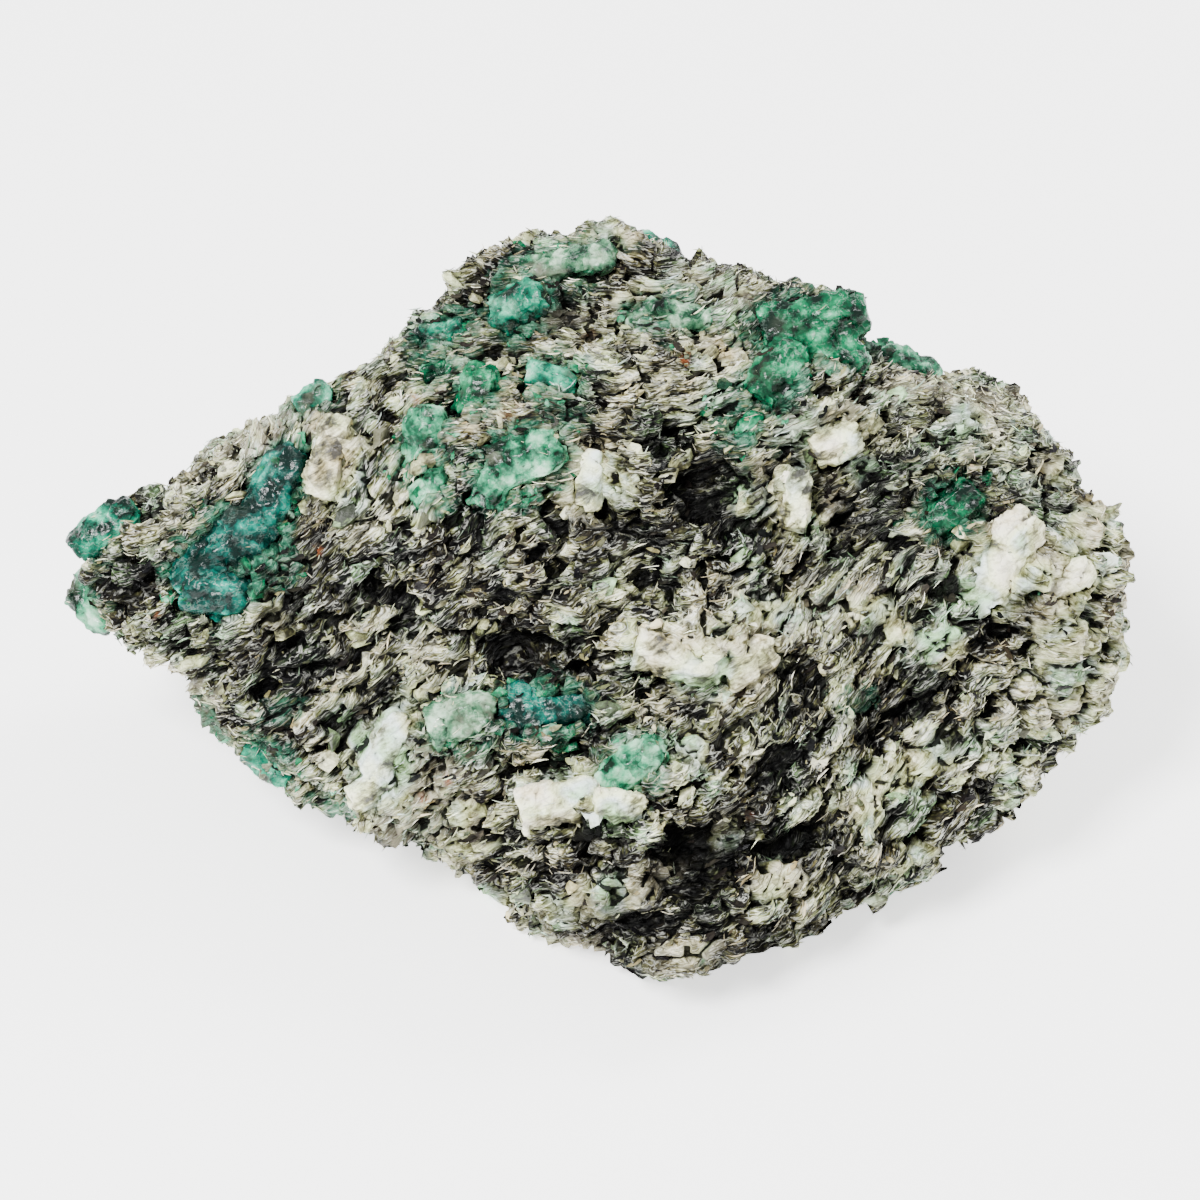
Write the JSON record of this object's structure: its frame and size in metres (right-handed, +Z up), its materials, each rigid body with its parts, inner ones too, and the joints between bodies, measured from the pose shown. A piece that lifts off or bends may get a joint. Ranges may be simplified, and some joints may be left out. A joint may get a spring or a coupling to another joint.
{
  "type": "emerald in matrix hand specimen",
  "caption": "Rough block of folded mica schist with green beryl crystals and white feldspar grains in sockets, lying on a broken flat.",
  "frame": {"origin": "on the surface that the specimen rests on, under the middle of its box", "axes": "+Z up, X along the specimen with the narrow emerald-tipped end at -X, show face towards -Y"},
  "size_m": [0.0802, 0.0558, 0.0381],
  "materials": {
    "schist": "flaky silver-grey mica schist with near-black hollows",
    "emerald": "cloudy blue-green beryl, glassy on its broken faces",
    "feldspar": "white to cream, pearly and slightly translucent"
  },
  "bodies": {
    "root": {"matrix": "schist", "emerald_left_tip": "emerald", "emerald_left_point": "emerald", "emerald_left_face": "emerald", "emerald_left_rim": "emerald", "emerald_knob": "emerald", "emerald_plateau_strip": "emerald", "emerald_ridge_left": "emerald", "emerald_ridge_bead": "emerald", "emerald_ridge_right": "emerald", "emerald_brow_left": "emerald", "emerald_brow_cluster": "emerald", "emerald_top_tip": "emerald", "emerald_plateau_streak": "emerald", "emerald_plateau_wedge": "emerald", "emerald_right_brow": "emerald", "emerald_right_hollow": "emerald", "emerald_right_edge": "emerald", "emerald_right_dark": "emerald", "emerald_low_pale": "emerald", "emerald_low_teal": "emerald", "emerald_low_dull": "emerald", "emerald_low_edge": "emerald", "emerald_back_upper": "emerald", "emerald_back_middle": "emerald", "emerald_back_right": "emerald", "feldspar_white_slab": "feldspar", "feldspar_cream_lump": "feldspar", "feldspar_brow_block": "feldspar", "feldspar_right_block": "feldspar", "feldspar_grey_block": "feldspar", "feldspar_cream_bead": "feldspar", "feldspar_left_column": "feldspar", "feldspar_low_stack": "feldspar", "feldspar_right_bead": "feldspar", "feldspar_back_block": "feldspar", "feldspar_back_bead": "feldspar"}
  },
  "joints": []
}
